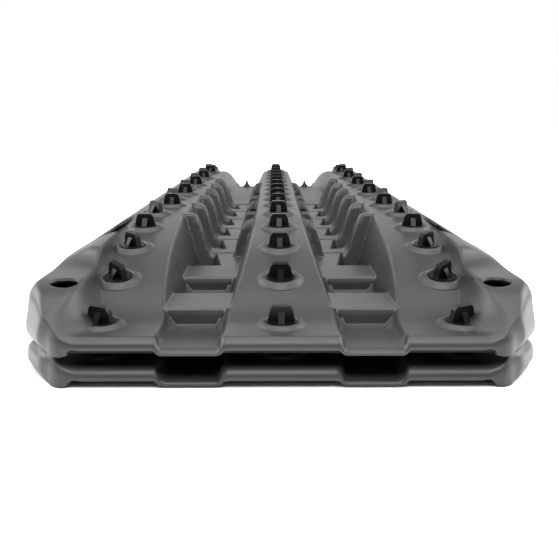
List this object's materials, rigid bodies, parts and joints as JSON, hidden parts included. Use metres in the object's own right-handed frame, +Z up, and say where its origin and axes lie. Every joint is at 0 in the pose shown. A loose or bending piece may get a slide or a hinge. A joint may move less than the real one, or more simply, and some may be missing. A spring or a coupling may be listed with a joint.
{
  "type": "tire traction mats",
  "caption": "Nested pair of long moulded recovery boards with ridged ramps, cleated channels, flared skirts, hand slots, corner holes and screwed-in grip studs.",
  "frame": {"origin": "centre of the stack's footprint, on the ground plane", "axes": "+Z up, +Y along the boards away from the entry end that the picture shows nearest, +X to the right seen from that end"},
  "size_m": [0.33, 1.15, 0.0855],
  "materials": {
    "board": "satin, fine moulded grain",
    "stud": "satin"
  },
  "bodies": {
    "lower_board": {"lower_deck": "board", "lower_centre_front_studs": "stud", "lower_centre_middle_studs": "stud", "lower_centre_rear_studs": "stud", "lower_left_front_studs": "stud", "lower_left_middle_studs": "stud", "lower_left_rear_studs": "stud", "lower_right_front_studs": "stud", "lower_right_middle_studs": "stud", "lower_right_rear_studs": "stud", "lower_channel_end_studs": "stud"},
    "upper_board": {"upper_deck": "board", "upper_centre_front_studs": "stud", "upper_centre_middle_studs": "stud", "upper_centre_rear_studs": "stud", "upper_left_front_studs": "stud", "upper_left_middle_studs": "stud", "upper_left_rear_studs": "stud", "upper_right_front_studs": "stud", "upper_right_middle_studs": "stud", "upper_right_rear_studs": "stud", "upper_channel_end_studs": "stud"}
  },
  "joints": [
    {"name": "lift_off", "type": "slide", "parent": "lower_board", "child": "upper_board", "axis": [0, 0, 1], "range_m": [0, 0.12]}
  ]
}
